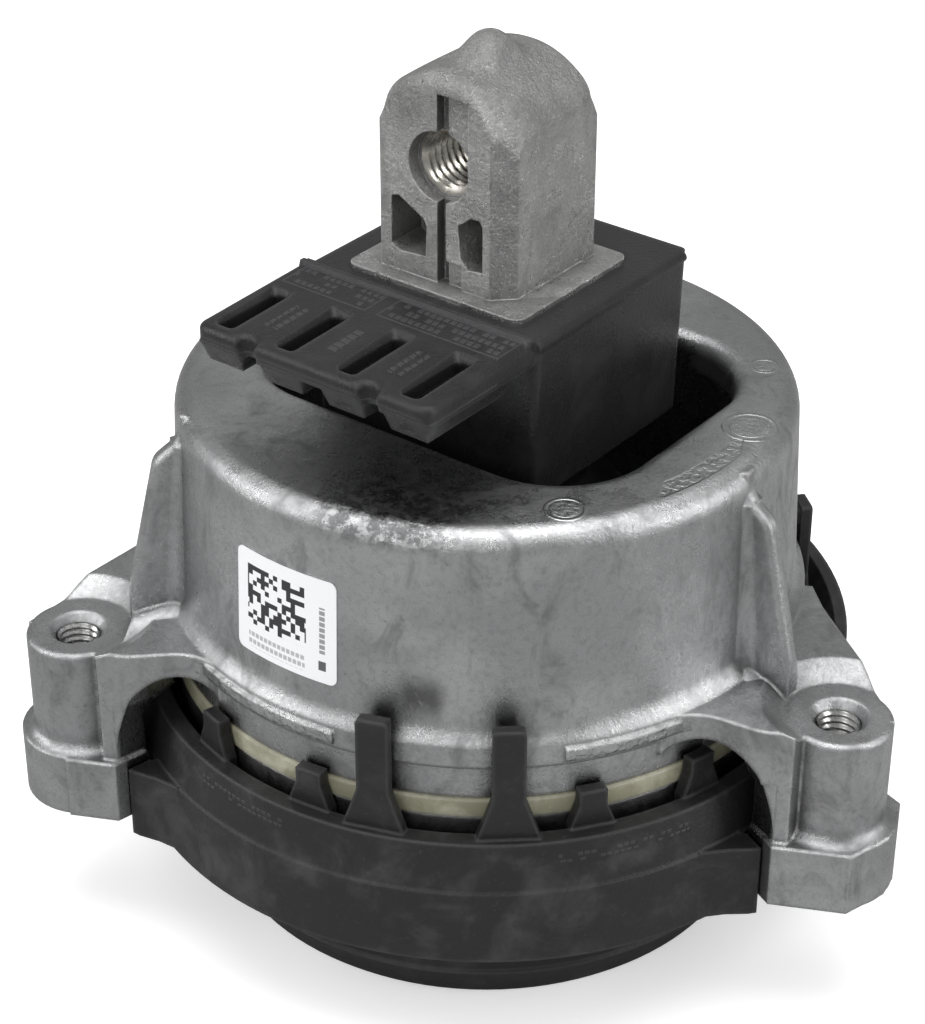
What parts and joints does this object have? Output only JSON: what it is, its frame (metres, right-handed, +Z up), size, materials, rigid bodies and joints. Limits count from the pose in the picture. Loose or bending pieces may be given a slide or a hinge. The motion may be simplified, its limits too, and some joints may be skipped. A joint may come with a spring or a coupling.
{
  "type": "hydraulic engine mount",
  "caption": "Hydraulic engine mount: cast bell on bolting legs over a moulded base cup, with a slotted rubber stop buffer around a cast core that takes a side bolt.",
  "frame": {"origin": "on the upright axis of the bell, at the underside of the base cup", "axes": "+Z up along the bell axis; X through the two front base bosses, left to right; -Y towards the front"},
  "size_m": [0.1739, 0.168, 0.1795],
  "materials": {
    "housing_casting": "as-cast satin with grey mottling and brighter worn edges",
    "base_plastic": "charcoal glass-filled plastic, faintly mottled",
    "core_casting": "grainy shot-blasted casting",
    "insert_steel": "bright threaded steel",
    "stop_rubber": "charcoal rubber with a soft sheen",
    "spring_rubber": "matte black rubber",
    "ring_steel": "plain steel",
    "ring_plastic": "dull cream plastic",
    "plate_plastic": "dark glass-filled plastic",
    "membrane_rubber": "thin black rubber",
    "label_film": "white printed film"
  },
  "bodies": {
    "root": {"housing": "housing_casting", "base_cup": "base_plastic", "core": "core_casting", "thread_insert": "insert_steel", "stop_buffer": "stop_rubber", "rubber_spring": "spring_rubber", "spring_ring": "ring_steel", "retaining_ring": "ring_plastic", "channel_plate_upper": "plate_plastic", "channel_plate_lower": "plate_plastic", "decoupling_disc": "membrane_rubber", "diaphragm": "membrane_rubber", "label": "label_film"}
  },
  "joints": []
}
